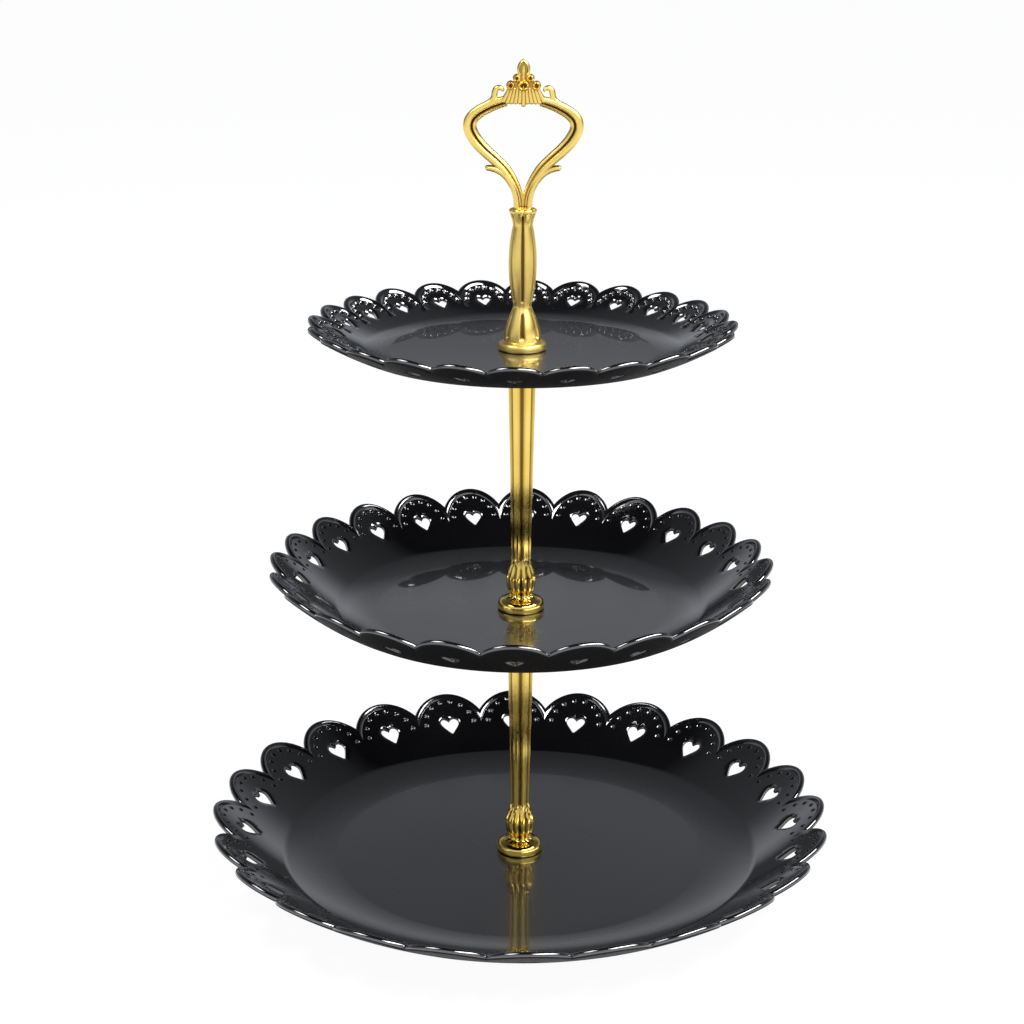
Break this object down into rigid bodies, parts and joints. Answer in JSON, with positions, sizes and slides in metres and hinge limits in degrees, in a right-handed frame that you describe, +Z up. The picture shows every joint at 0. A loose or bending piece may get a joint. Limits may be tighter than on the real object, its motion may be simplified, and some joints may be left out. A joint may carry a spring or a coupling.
{
  "type": "tiered cake stand",
  "caption": "Tiered cake stand: scalloped plates pierced with hearts on a screwed column of fluted rods, with a cast loop handle and crown on top.",
  "frame": {"origin": "centre of the bottom plate's foot ring, on the surface that the stand rests on", "axes": "+Z up along the column, +X across the handle's loop, -Y the side that the loop faces"},
  "size_m": [0.2654, 0.2654, 0.35],
  "materials": {
    "plate": "polished moulded black",
    "gilt": "polished gold plating",
    "steel": "zinc plated",
    "gasket": "matt black"
  },
  "bodies": {
    "bottom_tier": {"bottom_plate": "plate"},
    "base_fixing": {"base_screw": "steel", "bottom_washer": "steel", "bottom_lower_gasket": "gasket"},
    "base_seat": {"bottom_upper_gasket": "gasket"},
    "lower_column": {"lower_rod": "gilt", "lower_stud": "steel", "middle_washer": "steel", "middle_lower_gasket": "gasket"},
    "middle_tier": {"middle_plate": "plate"},
    "middle_seat": {"middle_upper_gasket": "gasket"},
    "upper_column": {"upper_rod": "gilt", "upper_stud": "steel", "top_washer": "steel", "top_lower_gasket": "gasket"},
    "top_tier": {"top_plate": "plate"},
    "top_seat": {"top_upper_gasket": "gasket"},
    "loop_handle": {"handle": "gilt"}
  },
  "joints": [
    {"name": "column_turn", "type": "hinge", "parent": "bottom_tier", "child": "base_fixing", "pos_m": [0, 0, 0.008], "axis": [0, 0, 1], "continuous": true},
    {"name": "lower_rod_rise", "type": "slide", "parent": "base_fixing", "child": "base_seat", "axis": [0, 0, 1], "range_m": [0, 0.01]},
    {"name": "lower_rod_turn", "type": "hinge", "parent": "base_seat", "child": "lower_column", "pos_m": [0, 0, 0.0102], "axis": [0, 0, 1], "range_deg": [0, 3600]},
    {"name": "middle_plate_turn", "type": "hinge", "parent": "lower_column", "child": "middle_tier", "pos_m": [0, 0, 0.1202], "axis": [0, 0, 1], "continuous": true},
    {"name": "upper_rod_rise", "type": "slide", "parent": "lower_column", "child": "middle_seat", "axis": [0, 0, 1], "range_m": [0, 0.01]},
    {"name": "upper_rod_turn", "type": "hinge", "parent": "middle_seat", "child": "upper_column", "pos_m": [0, 0, 0.12244], "axis": [0, 0, 1], "range_deg": [0, 3600]},
    {"name": "top_plate_turn", "type": "hinge", "parent": "upper_column", "child": "top_tier", "pos_m": [0, 0, 0.2324], "axis": [0, 0, 1], "continuous": true},
    {"name": "handle_rise", "type": "slide", "parent": "upper_column", "child": "top_seat", "axis": [0, 0, 1], "range_m": [0, 0.01]},
    {"name": "handle_turn", "type": "hinge", "parent": "top_seat", "child": "loop_handle", "pos_m": [0, 0, 0.23468], "axis": [0, 0, 1], "range_deg": [0, 3600]}
  ],
  "couplings": [
    {"joint": "lower_rod_turn", "follows": "lower_rod_rise", "rad_per_m": 6283.2},
    {"joint": "upper_rod_turn", "follows": "upper_rod_rise", "rad_per_m": 6283.2},
    {"joint": "handle_turn", "follows": "handle_rise", "rad_per_m": 6283.2}
  ]
}
